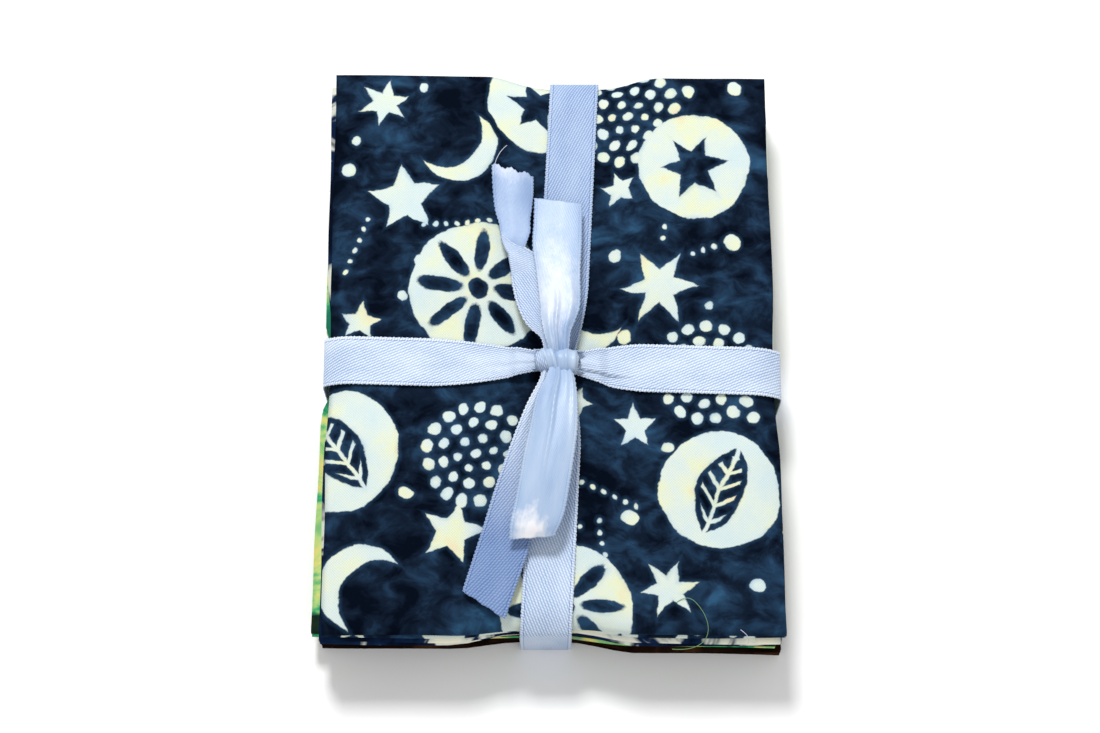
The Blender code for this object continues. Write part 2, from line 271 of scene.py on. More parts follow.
def waved(edge, fold, index, place):
    far, by_fold, by_quarter, by_place = WAVES[edge]
    return far * MM * np.sin(by_fold * fold + by_quarter * index + by_place * place)


def fat_quarter(index):
    """A fat quarter folded in four across and in four along, on the folds of its solid."""
    quarter = QUARTERS[index]
    counts = []
    for size in (2 * HALF_L, 2 * HALF_W):
        fine, coarse = (round(size / (cell * MM)) for cell in (quarter.fine, quarter.cell))
        counts.append([fine, coarse, coarse, coarse])
    along = fold_run(PLIES, CUT_L / PLIES, PITCH, counts[0])
    across = fold_run(THIN_PLIES, CUT_W / THIN_PLIES, THIN_PITCH, counts[1])
    b, out_y, z, look_y, look_z, flat_y = (v[:, None] for v in along)
    a, out_x, off, _, _, flat_x = (v[None, :] for v in across)
    a, out_x = 1 - a, -out_x
    off = off + 1.5 * THIN_PITCH
    nose_y = (PITCH + PLY) / 2
    nose_x = (THIN_PITCH + CLOTH) / 2
    ply = np.floor(-z / PITCH + 0.5)
    thin = np.floor(-off / THIN_PITCH + 2)
    pair_left, pair_back = np.floor((thin + 1) / 2), np.floor((ply + 1) / 2)
    rough_x = mix(-HALF_W, HALF_W, a)
    inset_back = np.where(pair_back == 1, nose_y + FOLD_INSET, CUT_INSET)
    inset_left = np.where(pair_left == 1, nose_x + FOLD_INSET, CUT_INSET)
    front = end_edge(quarter, -1, rough_x) + nose_y + FOLD_INSET + waved("front", np.floor(ply / 2), index, a)
    back = end_edge(quarter, 1, rough_x) - inset_back + waved("back", pair_back, index, a)
    y = mix(front, back, b) + out_y + look_y * off
    left = side_edge(quarter, -1, y) + inset_left
    left = left - (waved("left", pair_left, index, b) - LEFT_IN * (pair_left > 0))
    right = side_edge(quarter, 1, y) - nose_x - RIGHT_IN - waved("right", np.floor(thin / 2), index, b)
    x = mix(left, right, a) + out_x
    height = top_of(index) - PLY / 2 + z + look_z * off
    level = squeezed(x, y, height, rim(quarter, x, y))
    level = level + creased(x, y) * (height / STACK_T) ** CREASE_DEPTH
    points = np.stack([x, y, np.maximum(level, CLOTH / 2)], axis=-1)
    flat = np.stack(np.broadcast_arrays(flat_x, CUT_L / PLIES - flat_y), axis=-1)
    name = "cloth_" + quarter.node.removeprefix("fat_quarter_")
    obj = grid_object(name, points, flat)
    thicken(obj, CLOTH)
    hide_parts(quarter.node)
    return obj


class Nodes:
    """Builds one material's node tree."""

    def __init__(self, name, roughness, **uniform):
        self.material = bpy.data.materials.new(name)
        self.material.use_nodes = True
        self.tree = self.material.node_tree
        self.shader = self.tree.nodes["Principled BSDF"]
        self.shader.inputs["Roughness"].default_value = roughness
        for key, value in uniform.items():
            self.shader.inputs[key.replace("_", " ")].default_value = value
        flat = self.node("UVMap", uv_map="Flat").outputs["UV"]
        self.flat_mm = self.vector("SCALE", flat, scale=1 / MM)

    def node(self, kind, *values, **settings):
        """A node with its settings, its first inputs linked or filled."""
        node = self.tree.nodes.new("ShaderNode" + kind)
        for key, value in settings.items():
            setattr(node, key, value)
        for socket, value in zip(node.inputs, values):
            self.put(socket, value)
        return node

    def put(self, socket, value):
        if isinstance(value, bpy.types.NodeSocket):
            self.tree.links.new(value, socket)
        else:
            socket.default_value = (*value, 1.0) if socket.type == "RGBA" else value

    def math(self, operation, *values):
        return self.node("Math", *values, operation=operation).outputs[0]

    def plus(self, a, b):
        return self.math("ADD", a, b)

    def minus(self, a, b):
        return self.math("SUBTRACT", a, b)

    def times(self, a, b):
        return self.math("MULTIPLY", a, b)

    def scaled(self, value, by, more):
        return self.math("MULTIPLY_ADD", value, by, more)

    def least(self, a, b):
        return self.math("MINIMUM", a, b)

    def most(self, a, b):
        return self.math("MAXIMUM", a, b)

    def held(self, value, top=1.0):
        """A value kept from 0 to the top."""
        return self.least(self.most(value, 0.0), top)

    def vector(self, operation, *values, scale=None):
        node = self.node("VectorMath", *values, operation=operation)
        if scale is not None:
            node.inputs["Scale"].default_value = scale
        return node.outputs["Value" if operation in ("DISTANCE", "LENGTH") else "Vector"]

    def noise(self, scale, detail=2.0, rough=0.5, stretch=(1.0, 1.0), colour=False, warp=0.0, place=None):
        """Noise on the flat cloth, or at a place, with its scale times the stretch along each way."""
        place = self.vector("MULTIPLY", place or self.flat_mm, (*stretch, 1.0))
        node = self.node("TexNoise", place)
        for key, value in (("Scale", scale), ("Detail", detail), ("Roughness", rough), ("Distortion", warp)):
            node.inputs[key].default_value = value
        return node.outputs["Color" if colour else "Fac"]

    def ramp(self, value, *stops):
        """A colour by a value, from stops with their place, red, green and blue."""
        node = self.node("ValToRGB", value)
        elements = node.color_ramp.elements
        while len(elements) < len(stops):
            elements.new(0.5)
        for element, (at, *colour) in zip(elements, stops):
            element.position = at
            element.color = (*srgb(*colour), 1.0)
        return node.outputs["Color"]

    def blend(self, share, a, b, kind="MIX"):
        node = self.node("Mix", data_type="RGBA", blend_type=kind)
        for index, value in ((0, share), (6, a), (7, b)):
            self.put(node.inputs[index], value)
        return node.outputs[2]

    def parts(self, place):
        return self.node("SeparateXYZ", place).outputs[:2]

    def point(self, *values):
        return self.node("CombineXYZ", *values).outputs[0]

    def bump(self, height, strength, depth_mm):
        node = self.node("Bump", strength, depth_mm * MM)
        self.put(node.inputs["Height"], height)
        self.put(self.shader.inputs["Normal"], node.outputs["Normal"])

    def colour(self, value):
        self.put(self.shader.inputs["Base Color"], value)


def srgb(*values):
    """A colour as linear values, from 0 to 255."""
    return tuple(((v / 255 + 0.055) / 1.055) ** 2.4 if v > 10 else v / 255 / 12.92 for v in values)


WEAVE_PITCH = 0.34  # in mm


def plain_weave(n):
    """The height of a plain weave, from 0 to 1."""
    warp, weft = (n.math("SINE", n.times(way, math.pi / WEAVE_PITCH)) for way in n.parts(n.flat_mm))
    return n.scaled(n.times(warp, weft), 0.5, 0.5)


def weave_bump(n):
    slubs = n.noise(0.9, 3.0, 0.6)
    n.bump(n.plus(plain_weave(n), slubs), 0.35, 0.12)


# The print of the top cloth, in mm on the cloth, from the left front corner of its visible ply. One repeat is
# larger than that ply, so that no figure is cut at the repeat's own edge
TILE_W, TILE_L = 152.0, 188.0
TILE_LEFT, TILE_FRONT = -20.0, -20.0
Disc = namedtuple("Disc", "x y radius figure turn")
DISCS = [
    Disc(38, 88, 17.5, "flower", 10), Disc(95, 122, 14.5, "star", 12), Disc(99, 35, 15.0, "leaf", 24),
    Disc(3, 45, 15.5, "leaf", -35), Disc(60, 4, 16.5, "flower", 0), Disc(54, 141, 13.5, "star", 30),
]
Star = namedtuple("Star", "x y points tip notch turn")
STARS = [
    Star(19, 112, 5, 9.4, 4.6, 8), Star(85, 89, 6, 10.2, 4.2, 20), Star(32, 24, 5, 8.2, 3.9, 28),
    Star(75, 117, 5, 4.8, 2.3, 0), Star(78, 52, 5, 5.6, 2.7, 14), Star(8, 79, 5, 5.0, 2.4, 22),
    Star(86, 10, 6, 7.4, 3.2, 10), Star(13, 139, 6, 6.6, 3.0, 0), Star(63, 58, 5, 4.4, 2.1, 40),
]
Moon = namedtuple("Moon", "x y radius bite_x bite_y bite")
MOONS = [
    Moon(64, 84, 12.5, 69.0, 89.0, 12.2), Moon(33, 127, 10.0, 29.0, 131.4, 10.2),
    Moon(10, 10, 11.0, 15.0, 6.4, 10.9),
]
Rosette = namedtuple("Rosette", "x y turn")
ROSETTES = [Rosette(38, 44, 5), Rosette(78, 137, 20), Rosette(97, 66, 0)]
RINGS = [(4.2, 6, 1.0), (8.2, 11, 1.35), (12.4, 17, 1.5)]
DotRow = namedtuple("DotRow", "x y turn count pitch radius")
DOT_ROWS = [
    DotRow(24, 105, 4, 7, 2.9, 0.62), DotRow(56, 104, 62, 6, 2.8, 0.6), DotRow(64, 36, -20, 6, 2.9, 0.62),
    DotRow(4, 92, 70, 6, 3.0, 0.6), DotRow(86, 102, 80, 2, 2.8, 0.62), DotRow(50, 22, 12, 6, 2.9, 0.6),
    DotRow(70, 15, 95, 5, 2.9, 0.62), DotRow(94, 98, 20, 5, 2.9, 0.62),
]
DOTS = [
    (23, 95, 1.9), (58, 118, 1.5), (45, 114, 1.7), (76, 76, 1.8), (55, 60, 1.8), (60, 50, 1.3),
    (18, 68, 1.6), (19, 86, 1.2), (74, 98, 1.6), (104, 101, 2.2), (108, 11, 1.8), (98, 84, 1.2),
    (86, 46, 1.4), (54, 30, 1.5), (20, 34, 1.6), (42, 10, 1.7), (94, 143, 1.7), (106, 144, 2.0),
    (4, 120, 1.8), (24, 143, 1.3), (76, 28, 2.0), (108, 54, 1.6), (6, 128, 1.1), (46, 104, 1.3),
]
ANGLE_SHIFT = 7  # keeps every angle above 0 where it is folded


class Print(Nodes):
    """Signed distances in mm, below 0 inside a figure."""

    def wrapped(self):
        shifted = self.vector("SUBTRACT", self.flat_mm, (TILE_LEFT, TILE_FRONT, 0))
        place = self.vector("WRAP", shifted, (TILE_W, TILE_L, 1), (0, 0, 0))
        place = self.vector("ADD", place, (TILE_LEFT, TILE_FRONT, 0))
        for scale, reach in ((0.10, 2.6), (0.5, 0.7)):
            wobble = self.noise(scale, 1.0, 0.5, colour=True)
            wobble = self.vector("SUBTRACT", wobble, (0.5, 0.5, 0.5))
            place = self.vector("ADD", place, self.vector("SCALE", wobble, scale=reach))
        return place

    def dot(self, place, x, y, radius):
        return self.minus(self.vector("DISTANCE", place, (x, y, 0)), radius)

    def polar(self, place, middle):
        """The angle and the distance from a figure's middle."""
        x, y = self.parts(self.vector("SUBTRACT", place, (middle.x, middle.y, 0)))
        return self.math("ARCTAN2", y, x), self.vector("LENGTH", self.point(x, y))

    def from_middle(self, place, middle, turn):
        """X and y from a figure's middle, turned round it."""
        at = (middle.x, middle.y, 0)
        node = self.node("VectorRotate", place, rotation_type="Z_AXIS")
        node.inputs["Center"].default_value = at
        node.inputs["Angle"].default_value = math.radians(turn)
        return self.parts(self.vector("SUBTRACT", node.outputs[0], at))

    def star(self, angle, far, star):
        half = math.pi / star.points
        folded = self.math("PINGPONG", self.plus(angle, math.radians(star.turn) + ANGLE_SHIFT), half)
        tip = np.array([star.tip, 0.0])
        notch = star.notch * np.array([math.cos(half), math.sin(half)])
        way = notch - tip
        out = np.array([way[1], -way[0]]) / np.hypot(*way)
        lean = math.atan2(out[1], out[0])
        side = self.math("COSINE", self.minus(folded, lean))
        return self.minus(self.times(far, side), float(out @ tip))

    def square(self, far, angle):
        """X and y from a distance and an angle."""
        return [self.times(far, self.math(wave, angle)) for wave in ("COSINE", "SINE")]

    def ring(self, angle, far, radius, count, size, turn):
        half = math.pi / count
        folded = self.math("PINGPONG", self.plus(angle, turn + ANGLE_SHIFT), half)
        at = self.point(*self.square(far, folded))
        return self.minus(self.vector("DISTANCE", at, (radius, 0, 0)), size)

    def petals(self, angle, far, radius):
        """A flower of eight petals round a middle."""
        half = math.pi / 8
        folded = self.math("PINGPONG", self.plus(angle, ANGLE_SHIFT), half)
        along, side = self.square(far, folded)
        along = self.times(self.minus(along, 0.56 * radius), 0.34)
        petal = self.minus(self.vector("LENGTH", self.point(along, side)), 0.115 * radius)
        return self.least(petal, self.minus(far, 0.14 * radius))

    def leaf(self, place, disc):
        """A pointed leaf with its middle vein and side veins."""
        x, y = self.from_middle(place, disc, disc.turn)
        side = self.math("ABSOLUTE", x)
        radius = 0.98 * disc.radius
        off = radius - 0.40 * disc.radius
        far = self.vector("LENGTH", self.point(self.plus(side, off), y))
        blade = self.minus(far, radius)
        pitch = 0.30 * disc.radius
        slanted = self.scaled(side, -0.9, y)
        folded = self.math("PINGPONG", self.plus(slanted, 20 * pitch), pitch / 2)
        vein = self.minus(0.13 * pitch, folded)
        middle = self.minus(0.032 * disc.radius, side)
        short = self.minus(0.0, self.plus(blade, 0.10 * disc.radius))
        veins = self.most(middle, self.least(vein, short))
        return self.most(blade, veins)

    def disc(self, place, disc):
        angle, far = self.polar(place, disc)
        angle = self.plus(angle, math.radians(disc.turn))
        if disc.figure == "flower":
            figure = self.petals(angle, far, disc.radius)
        elif disc.figure == "star":
            figure = self.star(angle, far, Star(0, 0, 6, 0.62 * disc.radius, 0.30 * disc.radius, 0))
        else:
            figure = self.leaf(place, disc)
        inside = self.minus(far, disc.radius)
        return self.most(inside, self.minus(0.0, figure))

    def moon(self, place, moon):
        bite = self.minus(moon.bite, self.vector("DISTANCE", place, (moon.bite_x, moon.bite_y, 0)))
        return self.most(self.dot(place, moon.x, moon.y, moon.radius), bite)

    def dot_row(self, place, row):
        x, y = self.from_middle(place, row, -row.turn)
        step = self.math("ROUND", self.math("DIVIDE", x, row.pitch))
        step = self.most(self.least(step, float(row.count - 1)), 0.0)
        off = self.point(self.minus(x, self.times(step, row.pitch)), y)
        return self.minus(self.vector("LENGTH", off), row.radius)

    def rosette(self, place, rosette):
        angle, far = self.polar(place, rosette)
        whole = self.minus(far, 1.2)
        for radius, count, size in RINGS:
            turn = math.radians(rosette.turn + 11 * count)
            whole = self.least(whole, self.ring(angle, far, radius, count, size, turn))
        return whole

    def figures(self, place):
        found = [self.dot(place, *dot) for dot in DOTS]
        found += [self.star(*self.polar(place, star), star) for star in STARS]
        drawn = (self.moon, MOONS), (self.dot_row, DOT_ROWS), (self.rosette, ROSETTES), (self.disc, DISCS)
        for draw, rows in drawn:
            found += [draw(place, row) for row in rows]
        return functools.reduce(self.least, found)


def star_print():
    """Navy batik with cream figures."""
    n = Print("star_print_batik", 0.95, Specular_IOR_Level=0.0)
    distance = n.figures(n.wrapped())
    clouds = n.noise(0.045, 3.0, 0.55, warp=0.8)
    wash = n.noise(0.13, 4.0, 0.6, (1.0, 1.4), warp=0.5)
    depth = n.scaled(wash, 0.5, n.times(clouds, 0.5))
    ground = n.ramp(
        depth,
        (0.41, 7, 13, 25), (0.50, 19, 31, 48), (0.59, 33, 57, 82), (0.69, 46, 86, 118),
    )
    tints = n.noise(0.07, 3.0, 0.55)
    cream = n.ramp(
        tints,
        (0.34, 196, 212, 213), (0.50, 205, 216, 207), (0.62, 214, 219, 186), (0.72, 219, 207, 172),
    )
    grain = n.scaled(plain_weave(n), 0.16, 0.92)
    soft = n.scaled(n.noise(1.6, 1.0), 0.3, -0.15)
    edge = n.plus(distance, soft)
    faded = n.scaled(n.noise(0.12, 2.0), 3.4, -1.55)
    near_edge = n.held(n.scaled(edge, -0.8, 0.9))
    tinged = n.blend(n.times(near_edge, 0.4), ground, srgb(44, 80, 114))
    share = n.held(n.scaled(edge, -3.2, 0.5))
    deep = n.held(n.scaled(edge, -0.75, 0.1))
    thin = n.times(n.minus(1.0, deep), n.held(faded))
    washed = n.blend(n.times(thin, 0.55), cream, srgb(120, 160, 190))
    colour = n.blend(share, tinged, washed)
    n.colour(n.blend(1.0, colour, n.point(grain, grain, grain), kind="MULTIPLY"))
    weave_bump(n)
    return n.material


FOLD_RUN = CUT_L / PLIES / MM


def banded_batik(name, *stops, scale=0.06, shade_at_folds=False):
    """A mottled batik in the given colours. It may darken near its front folds, as painted shade."""
    n = Nodes(name, 0.95, Specular_IOR_Level=0.0)
    cloud = n.noise(scale, 4.0, 0.62, warp=0.6)
    colour = n.ramp(cloud, *stops)
    if shade_at_folds:
        _, y = n.parts(n.flat_mm)
        from_fold = n.math("PINGPONG", n.plus(y, 40 * FOLD_RUN), FOLD_RUN)
        ragged = n.scaled(n.noise(0.12, 2.0), 9.0, -4.5)
        share = n.scaled(n.plus(from_fold, ragged), -0.8, 3.2)
        # painted shade on the folded edges
        colour = n.blend(n.held(share, 0.96), colour, srgb(16, 22, 24))
    n.colour(colour)
    weave_bump(n)
    return n.material


# The ribbon's weave: how far its ribs are turned from its length, and its pitches and selvedge in mm
TWILL_TURN, TWILL_PITCH = math.radians(24), 0.68
SATIN_TURN, SATIN_PITCH = math.radians(-14), 0.42
PICK_PITCH = 0.62
SELVEDGE = 0.8
RIBBON_HALF_MM = RIBBON_W / MM / 2
SATIN_TONES = [
    (0.20, 146, 168, 202), (0.40, 178, 197, 220), (0.60, 200, 213, 228), (0.80, 221, 224, 231),
]
TWILL_TONES = [
    (0.18, 112, 136, 180), (0.40, 172, 192, 220), (0.62, 206, 218, 232), (0.88, 236, 238, 242),
]
SHINE = srgb(232, 232, 236)
Shine = namedtuple("Shine", "x y reach_x reach_y most")  # a patch of glare, in mm on the flat ribbon
Fade = namedtuple("Fade", "tone start end")  # another painted shade at the knot, up to start and gone by end, in mm
SHADE_POWERS = (1.0, 0.76, 0.42)  # a tone is painted shade, which darkens red most and blue least


@functools.cache
def ribbon_face(weave, tone, shine=None, fade=None):
    """One face of the ribbon. Its tone is 1 in full light."""
    name = f"{weave}_tone_{round(100 * tone)}"
    name += f"_shine_{round(shine.y)}" if shine else ""
    name += f"_fade_{round(fade.end)}" if fade else ""
    return (satin_ribbon if weave == "satin" else twill_ribbon)(name, tone, shine, fade)


def waves(n, place, pitch):
    """Ribs from 0 to 1 across a place that grows by one pitch for each of them."""
    return n.scaled(n.math("SINE", n.times(place, 2 * math.pi / pitch)), 0.5, 0.5)


def slanted(n, x, y, turn):
    return n.scaled(y, math.sin(turn), n.times(x, math.cos(turn)))


def selvedges(n, x):
    """1 on the firm edges, and the groove beside them."""
    from_edge = n.minus(RIBBON_HALF_MM, n.math("ABSOLUTE", x))
    return n.math("LESS_THAN", from_edge, SELVEDGE), n.math("COMPARE", from_edge, SELVEDGE, 0.10)


def shade(tone):
    return tuple(tone**power for power in SHADE_POWERS)


def ribbon_colour(n, weave_colour, tone, shine, fade):
    """The ribbon's pale blue, darker for a face turned from the light, with an uneven patch of glare."""
    x, y = n.parts(n.flat_mm)
    turned = shade(tone)
    if fade:
        share = n.math("DIVIDE", n.minus(y, fade.start), fade.end - fade.start)
        turned = n.blend(n.held(share), shade(fade.tone), turned)
    colour = n.blend(1.0, weave_colour, turned, kind="MULTIPLY")
    if shine:
        off_x = n.math("DIVIDE", n.minus(x, shine.x), shine.reach_x)
        off_y = n.math("DIVIDE", n.minus(y, shine.y), shine.reach_y)
        far = n.vector("LENGTH", n.point(off_x, off_y))
        patches = n.noise(1.0, 4.0, 0.65, (0.35, 0.22))
        share = n.scaled(patches, 2.2, n.minus(0.2, far))
        colour = n.blend(n.held(n.times(share, shine.most), shine.most), colour, SHINE)
    n.colour(colour)


# How a face is coloured: the scales of its threads and broad patches, and what each adds to its tone
Finish = namedtuple("Finish", "threads broad threads_share relief_share broad_share less tones bump")
# The satin's broad patches, long along the ribbon, are painted sheen
SATIN = Finish((6.0, 0.3), (0.16, 0.035), 0.20, 0.16, 0.80, 0.10, SATIN_TONES, 0.3)
TWILL = Finish((4.0, 0.8), (0.12, 0.05), 0.22, 0.56, 0.44, 0.02, TWILL_TONES, 0.45)


def finished(n, finish, relief, *shades):
    threads = n.noise(1.0, 2.0, 0.6, finish.threads)
    broad = n.noise(1.0, stretch=finish.broad)
    tone = n.scaled(threads, finish.threads_share, n.times(relief, finish.relief_share))
    tone = n.scaled(broad, finish.broad_share, n.minus(tone, finish.less))
    ribbon_colour(n, n.ramp(tone, *finish.tones), *shades)
    n.bump(n.plus(relief, n.times(threads, 0.5)), finish.bump, 0.12)
    return n.material


def satin_ribbon(name, *shades):
    """The smooth face: long floats over fine slanted lines."""
    n = Nodes(name, 0.36, Sheen_Weight=0.1, Sheen_Roughness=0.4, Specular_IOR_Level=0.4)
    x, y = n.parts(n.flat_mm)
    selvedge, groove = selvedges(n, x)
    ribs = n.times(waves(n, slanted(n, x, y, SATIN_TURN), SATIN_PITCH), 0.35)
    edge = n.times(waves(n, y, PICK_PITCH), n.times(selvedge, 0.8))
    return finished(n, SATIN, n.scaled(groove, -0.7, n.plus(ribs, edge)), *shades)


def twill_ribbon(name, *shades):
    """The matt face: fine slanted ribs, cut into short dashes by the picks that cross them."""
    n = Nodes(name, 0.55, Sheen_Weight=0.1, Sheen_Roughness=0.4, Specular_IOR_Level=0.3)
    x, y = n.parts(n.flat_mm)
    selvedge, groove = selvedges(n, x)
    uneven = n.scaled(n.noise(0.8, 1.0), 0.30, -0.15)
    ribs = waves(n, n.plus(slanted(n, x, y, TWILL_TURN), uneven), TWILL_PITCH)
    picks = waves(n, slanted(n, y, x, 0.35), PICK_PITCH)
    dashes = n.times(ribs, n.scaled(picks, 0.55, 0.45))
    ground = n.times(dashes, n.minus(1.0, n.times(selvedge, 0.3)))
    edge = n.times(picks, n.times(selvedge, 0.6))
    return finished(n, TWILL, n.scaled(groove, -0.6, n.plus(ground, edge)), *shades)


def thread_material(name, colour):
    """Spun yarn with darker and paler stretches."""
    n = Nodes(name, 0.8, Specular_IOR_Level=0.2)
    place = n.node("TexCoord").outputs["Object"]
    fibres = n.noise(1.4, place=n.vector("SCALE", place, scale=1 / MM))
    n.colour(n.blend(fibres, tuple(c * 0.7 for c in colour), colour))
    return n.material


def put_on(obj, materials):
    for material in materials:
        obj.data.materials.append(material)
    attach(obj, "root")


# The ribbon's sheets. The two faces are the material on the side of the grid's normal and the one behind it

STRIP_STEP = 0.3 * MM
STRIP_CELLS = 30
STRIP_W = np.linspace(-1, 1, STRIP_CELLS + 1)  # from one selvedge to the other
PICOT = 0.12 * MM  # how far the small loops of the selvedge stand out
PICOT_PITCH = 1.1 * MM


def picots(lengths):
    """How far each point of a strip stands out at its selvedges."""
    loops = PICOT * np.sin(2 * math.pi * lengths / PICOT_PITCH)
    return loops[:, None] * np.where(np.abs(STRIP_W) == 1, STRIP_W, 0)


def ribbon_strip(name, node, points, lengths, faces, mirror=1, closed=False):
    """A sheet of ribbon from its points, with the materials of its two faces."""
    along = np.append(lengths, 2 * lengths[-1] - lengths[-2]) if closed else lengths
    sign = np.broadcast_to(mirror, lengths.shape)
    sign = np.append(sign, sign[-1]) if closed else sign
    across = sign[:, None] * STRIP_W[None, :] * RIBBON_W / 2
    flat = np.stack(np.broadcast_arrays(across, along[:, None]), axis=-1)
    obj = grid_object(name, points, flat, closed=closed)
    thicken(obj, RIBBON)
    obj.modifiers["Cloth thickness"].material_offset = 1
    put_on(obj, faces)
    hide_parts(node)


TURN_GAP = 0.7 * MM  # between the two layers where a ribbon turns over


def strip_points(centre, lengths, half, level, rolls, ridges, curl, turn=None, bow=0.0):
    """A strip's points round its middle line, with its width along level, and the way that it runs."""
    ways = np.gradient(centre, axis=0)
    ways /= np.linalg.norm(ways, axis=1)[:, None]
    level = level - ways * np.sum(ways * level, axis=1)[:, None]
    level /= np.linalg.norm(level, axis=1)[:, None]
    turned = np.zeros((len(lengths), len(STRIP_W)))
    if turn:
        from_middle = lengths[:, None] / MM - turn.at
        turned = math.pi * smooth(0.5 + (from_middle - turn.slant * STRIP_W) / turn.reach)
        layers = TURN_GAP * smooth(1 - np.abs(from_middle) / turn.slant)
    angles = (rolls[:, None] + bow * STRIP_W - turned)[:, :, None]
    across = level[:, None] * np.cos(angles) + np.cross(ways, level)[:, None] * np.sin(angles)
    out = np.cross(across, ways[:, None])
    steps = (across[:, 1:] + across[:, :-1]) / 2 * half[:, None, None] * (STRIP_W[1] - STRIP_W[0])
    offsets = np.concatenate([np.zeros_like(steps[:, :1]), np.cumsum(steps, axis=1)], axis=1)
    if turn:
        offsets -= (offsets.min(axis=1) + offsets.max(axis=1))[:, None] / 2
        offsets[:, :, 2] = layers / 2 * np.cos(turned)
    else:
        offsets -= offsets[:, STRIP_CELLS // 2][:, None]
    share = (lengths / lengths[-1])[:, None]
    rise = curl[:, None] * (1 - STRIP_W**2)
    for ridge in ridges:
        form = np.exp(-(((STRIP_W - ridge.place) / ridge.width) ** 2))
        rise = rise + ridge.height * MM * form * (1 - smooth(share / ridge.reach))
    points = centre[:, None] + offsets + out * rise[:, :, None]
    return points + across * picots(lengths)[:, :, None], ways


def run_length(points):
    return np.concatenate([[0], np.cumsum(np.linalg.norm(np.diff(points, axis=0), axis=1))])


# The bands

BAND_TURNS = 96
BAND_STEP = 0.45 * MM
OUTLINE_POINTS = 120
BAND_EDGE = 6.5 * MM  # from its middle, where it is laid on the stack
CORNER = 0.9 * MM  # how far a corner is spread
CORNER_STEPS = 6
UPRIGHT = 0.9  # the least rise of the way out of a stretch that lies level
GATHERED_W, GATHERED_W_ALONG = 3.9 * MM, 7.0 * MM
GATHER_START = 2.6 * MM
GATHER_LENGTH, GATHER_LENGTH_LEFT = 19 * MM, 30 * MM
GATHER_POWER, PLEAT_POWER = 1.6, 1.2
KNOT_LIFT = 0.8 * MM
OVER_HALF, OVER_RAMP = 9.8 * MM, 3 * MM
Pleats = namedtuple("Pleats", "turns height phase")  # waves across the ribbon, their heights in mm
BAND_PLEATS = [Pleats(3.4, 0.34, 0.9), Pleats(7.6, 0.18, -0.8), Pleats(14.2, 0.08, 0.3)]
PLEATS_LIFT = 0.3 * MM
UNDER_DROP, UNDER_FROM, UNDER_RAMP, UNDER_GATHER = 1.0 * MM, 0.40, 0.08, 0.25  # the edge that is turned under


def edge_spot(quarter, side, lies_along, off=0.0):
    """Where a band crosses a quarter's edge."""
    if lies_along:
        x = along_middle(side * HALF_L) + off
        return x, end_edge(quarter, side, x)
    y = across_middle(side * HALF_W) + off
    return side_edge(quarter, side, y), y


def tied_outline(lies_along):
    """What a band lies on, seen along its edge: points as (run, height)."""
    axis = 1 if lies_along else 0
    found = []
    for index, quarter in enumerate(QUARTERS):
        for off in (-BAND_EDGE, 0.0, BAND_EDGE):
            for side in (-1, 1):
                spot = edge_spot(quarter, side, lies_along, off)
                for height in (top_of(index), top_of(index) - QUARTER_T):
                    found.append((spot[axis], squeezed(*spot, height, 1.0)))
    ends = [edge_spot(QUARTERS[0], side, lies_along)[axis] for side in (-1, 1)]
    for run in np.linspace(*ends, OUTLINE_POINTS):
        x, y = (along_middle(run), run) if lies_along else (run, across_middle(run))
        found.append((run, squeezed(x, y, STACK_T, rim(QUARTERS[0], x, y))))
    return np.array(found, float)


def taut_loop(outline):
    """A ribbon pulled tight round an outline: its places on the outline, each with the way out."""
    angles = 2 * math.pi * (np.arange(BAND_TURNS) + 0.5) / BAND_TURNS
    outs = np.stack([np.cos(angles), np.sin(angles)], axis=1)
    places = outline[np.argmax(outline @ outs.T, axis=0)]
    run, ways = [], []
    for k in range(BAND_TURNS):
        after = (k + 1) % BAND_TURNS
        steps = max(1, math.ceil(np.hypot(*(places[after] - places[k])) / (2 * STRIP_STEP)))
        for step in range(steps):
            run.append(mix(places[k], places[after], step / steps))
            ways.append(mix(outs[k], outs[after], step / steps))
    ways = np.array(ways)
    return np.array(run), ways / np.linalg.norm(ways, axis=1)[:, None]


def rounded_loop(points, ways):
    """A closed loop at even steps, with its corners rounded off."""
    table = np.hstack([points, ways])
    table = np.vstack([table, table[:1]])
    lengths = run_length(table[:, :2])
    even = np.linspace(0, lengths[-1], round(lengths[-1] / BAND_STEP), endpoint=False)
    table = np.stack([np.interp(even, lengths, column) for column in table.T], axis=1)
    shifts = np.arange(-CORNER_STEPS, CORNER_STEPS + 1)
    weights = np.exp(-0.5 * (shifts * BAND_STEP / CORNER) ** 2)
    weights = weights / weights.sum()
    table = sum(weight * np.roll(table, shift, axis=0) for shift, weight in zip(shifts, weights))
    return table[:, :2], table[:, 2:] / np.linalg.norm(table[:, 2:], axis=1)[:, None]


